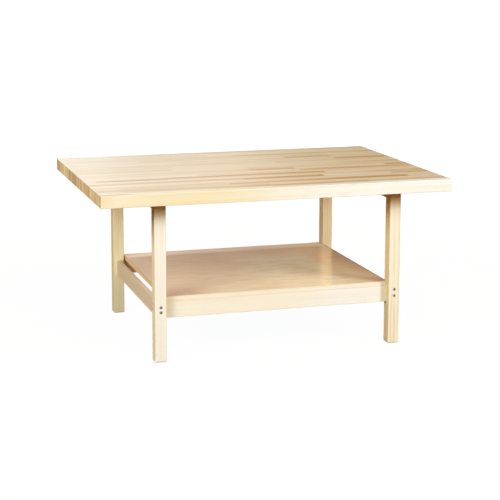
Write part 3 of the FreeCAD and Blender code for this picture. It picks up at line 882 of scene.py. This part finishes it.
def veneer_with_painted_light(paint, place, x, y, back_strip):
    """Veneer's tan with painted light and shade: lit olive in front, shade at the ends and in the
    front left corner, a lit paler patch, and a lit strip along the back.
    """
    cloud = paint.times(paint.noise(place, SHELF_CLOUD_CYCLES), SHELF_CLOUD)
    # painted light: olive where the front of the shelf is lit
    base = paint.blend(paint.fall(paint.plus(y, cloud), *LIT_OLIVE_FADE), SHELF_TAN, SHELF_LIT_OLIVE)
    right = paint.times(paint.ramp(x, *SHADE_RIGHT_RISE), SHADE_RIGHT)
    aside = paint.plus(right, paint.fall(x, *SHADE_LEFT_FADE))
    corner = paint.times(paint.fall(x, *SHADE_CORNER_X), paint.fall(y, *SHADE_CORNER_Y))
    aside = paint.plus(aside, paint.times(corner, SHADE_CORNER))
    base = paint.blend(paint.math("MULTIPLY", aside, SHADE_SHARE, clamp=True), base, SHELF_SHADE)
    # painted light: a paler patch right of the middle
    paler = paint.times(paint.ramp(x, *PALER_RISE), paint.fall(x, *PALER_FADE),
                        paint.fall(y, *PALER_BACK))
    base = paint.blend(paler, base, SHELF_LIT_PATCH)
    # painted light on the strip along the back
    return paint.blend(paint.times(back_strip, SHELF_BACK_LIGHT_SHARE), base, SHELF_BACK_LIGHT)


def shelf_material():
    """Shelf board: tan veneer with painted light and shade, mottled, with a glossy top."""
    paint = Paint("shelf_veneer")
    place = paint.place()
    x, y, _ = paint.xyz(place)
    figure = wood_figure(paint, paint.moved(place, SHELF_SHIFT))
    back_strip = paint.ramp(y, *SHELF_BACK_LIGHT_RISE)
    color = veneer_with_painted_light(paint, place, x, y, back_strip)
    color = paint.blend(paint.times(figure["fibres"], SHELF_FIBRES), color, SHELF_BROWN)
    for offset, cycles, detail, rough, fade, share in SHELF_PATTERN:
        mottle = paint.noise(paint.moved(place, offset), cycles, detail, rough)
        color = paint.blend(paint.times(paint.ramp(mottle, *fade), share), color, SHELF_BROWN)
    color = paint.blend(paint.times(paint.square_to(0), SHELF_SIDE_SHARE), color, SHELF_SIDE)
    # darker along the edges
    along_edges = arris(paint, place, SHELF_LOW, SHELF_HIGH, SHELF_DARK_EDGE_WIDTH)
    color = paint.blend(paint.times(along_edges, SHELF_DARK_EDGE_SHARE), color, SHELF_BROWN)
    right_line = paint.ramp(x, *[SHELF_HIGH.x - reach for reach in SHELF_LINE_REACH])
    color = paint.blend(paint.times(right_line, SHELF_LINE_SHARE), color, SHELF_LINE)
    upper = paint.facing((0, 0, 1))
    # the finest layer of the pattern roughens the gloss too
    rough = paint.plus(paint.times(mottle, SHELF_ROUGH_MOTTLE), SHELF_ROUGH)
    rough = paint.plus(rough, paint.times(paint.rest(upper), SHELF_DULLER))
    less = paint.times(back_strip, SHELF_COAT_LESS)
    coat = paint.times(upper, paint.minus(SHELF_COAT, less))
    gloss = {"Specular IOR Level": SHELF_SPECULAR, "Coat Weight": coat,
             "Coat Roughness": SHELF_COAT_ROUGH}
    return paint.finish(color, rough, wood_height(paint, figure), SHELF_RELIEF, gloss)


def steel_material(name, color, rough, metallic):
    """Turned steel: fine scratches and blotches of finish."""
    paint = Paint(name)
    place = paint.place()
    blotch = paint.noise(place, BLOTCH_CYCLES, detail=3.0)
    darker = tuple(part * STEEL_DARKER for part in color)
    shade = paint.blend(paint.ramp(blotch, *BLOTCH_FADE), color, darker)
    roughness = paint.plus(paint.times(blotch, BLOTCH_ROUGH), rough)
    scratch = paint.noise(place, SCRATCH_CYCLES)
    return paint.finish(shade, roughness, scratch, SCRATCH_DEPTH, {"Metallic": metallic})


# ---------------------------------------------------------------- butcher block

def board_plan():
    """Boards of every row as (row, start, end, tone), rows counted from the back.

    The chosen boards are laid first and boards of random length fill what
    is left between them.
    """
    rng = np.random.default_rng(STRIP_SEED)
    plan = []
    for row in range(STRIP_ROWS):
        chosen = [board for board in CHOSEN_BOARDS if board[0] == row]
        at = 0.0
        for _, start, end, tone in chosen + [(row, TOP_LENGTH, TOP_LENGTH, 0.0)]:
            while start - at > LONGEST_BOARD:
                step = rng.uniform(SHORTEST_BOARD, LONGEST_BOARD)
                step = min(step, start - at - SHORTEST_BOARD)
                plan.append((row, at, at + step, rng.uniform(*PLAIN_TONES)))
                at += step
            if start - at > 0:
                plan.append((row, at, start, rng.uniform(*PLAIN_TONES)))
            if end > start:
                plan.append((row, start, min(end, TOP_LENGTH), tone))
            at = end
    return plan


def slab_shell(columns):
    """Closed box shell cut at the columns and at every strip line.

    Vertex (i, j, k) = (column i, strip line j, low or high z k). Returns the
    vertices, the faces, and the column and row of each face.
    """
    nx, ny = len(columns) - 1, STRIP_ROWS
    ys = TOP_LOW.y + ROW_WIDTH * np.arange(ny + 1)
    flat = np.stack(np.meshgrid(TOP_LOW.x + columns, ys, indexing="ij"), axis=2).reshape(-1, 2)
    count = len(flat)
    verts = np.concatenate([np.c_[flat, np.full(count, z)] for z in (TOP_LOW.z, TOP_HIGH.z)])
    low = np.arange(count).reshape(nx + 1, ny + 1)
    high = low + count
    i, j = (part.ravel() for part in np.meshgrid(np.arange(nx), np.arange(ny), indexing="ij"))
    a, b = np.arange(nx), np.arange(ny)
    faces = np.concatenate([np.stack(corners, axis=1) for corners in (
        (high[i, j], high[i + 1, j], high[i + 1, j + 1], high[i, j + 1]),       # upper
        (low[i, j], low[i, j + 1], low[i + 1, j + 1], low[i + 1, j]),           # lower
        (low[a, 0], low[a + 1, 0], high[a + 1, 0], high[a, 0]),                 # front
        (low[a + 1, ny], low[a, ny], high[a, ny], high[a + 1, ny]),             # back
        (low[0, b + 1], low[0, b], high[0, b], high[0, b + 1]),                 # left
        (low[nx, b], low[nx, b + 1], high[nx, b + 1], high[nx, b]),             # right
    )])
    face_column = np.concatenate([i, i, a, a, 0 * b, 0 * b + nx - 1])
    face_row = np.concatenate([j, j, 0 * a, 0 * a + ny - 1, b, b])
    return verts, faces, face_column, face_row


def butcher_block():
    """Top as a closed shell whose faces follow the boards.

    Columns stand at every joint and rows at every strip. Each face carries
    its board's start, end, tones and a seed; the bevel eases the outline.
    """
    plan = board_plan()
    columns = np.unique(np.round([board[1] for board in plan] + [TOP_LENGTH], JOINT_DECIMALS))
    verts, faces, face_column, face_row = slab_shell(columns)
    mesh = bpy.data.meshes.new("butcher_block_top")
    mesh.from_pydata(verts.tolist(), [], faces.tolist())

    cell_board = np.zeros((len(columns) - 1, STRIP_ROWS), int)
    middles = (columns[:-1] + columns[1:]) / 2
    for number, (row, start, end, _) in enumerate(plan):
        cell_board[(middles > start) & (middles < end), STRIP_ROWS - 1 - row] = number
    of_face = cell_board[face_column, face_row]
    rows, starts, ends, tones = (np.array(values) for values in zip(*plan))
    rng = np.random.default_rng(STRIP_SEED + 1)
    seeds = rng.uniform(size=len(plan))
    right_ends = rng.uniform(size=len(plan))
    board_values = {
        "board_start": TOP_LOW.x + starts,
        "board_end": TOP_LOW.x + ends,
        "board_tone": tones,
        "board_seed": seeds,
        "board_end_tone": np.where(starts == 0, np.array(END_TONES)[rows], right_ends),
    }
    for name, values in board_values.items():
        attribute = mesh.attributes.new(name, "FLOAT", "FACE")
        attribute.data.foreach_set("value", values[of_face].astype(np.float32))

    slab = bpy.data.objects.new("butcher_block_top", mesh)
    bpy.context.scene.collection.objects.link(slab)
    bevel = slab.modifiers.new("eased_edges", "BEVEL")
    bevel.width = EASED_EDGE
    bevel.segments = EASED_STEPS
    bevel.limit_method = "ANGLE"
    bevel.angle_limit = EASED_ANGLE
    mesh.materials.append(top_material())
    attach(slab, "root")
    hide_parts("top_slab")


# ---------------------------------------------------------------- dressing the frame

def dress(node, material):
    """Give a CAD node its material."""
    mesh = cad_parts[node].data
    mesh.materials.clear()
    mesh.materials.append(material)


def dress_frame():
    """Materials of every wooden and steel node."""
    for pales, axis, first_seed in TIMBERS:
        for number, (node, pale) in enumerate(pales.items()):
            seed = first_seed + number
            dress(node, timber_material(node + "_maple", node, axis, seed, pale))
    dowels = "upper_rail_dowels"
    dress(dowels, timber_material("dowel_beech", dowels, 1, DOWEL_SEED, MAPLE_WARM))
    dress("shelf_panel", shelf_material())
    steels = {name: steel_material(name, *values) for name, values in STEELS.items()}
    for node, steel in STEEL_NODES.items():
        dress(node, steels[steel])


make_camera()
make_world()
make_floor()
make_far_wall()
for lamp_values in LAMPS:
    make_lamp(*lamp_values)
bpy.context.scene.view_settings.view_transform = "Standard"
dress_frame()
butcher_block()
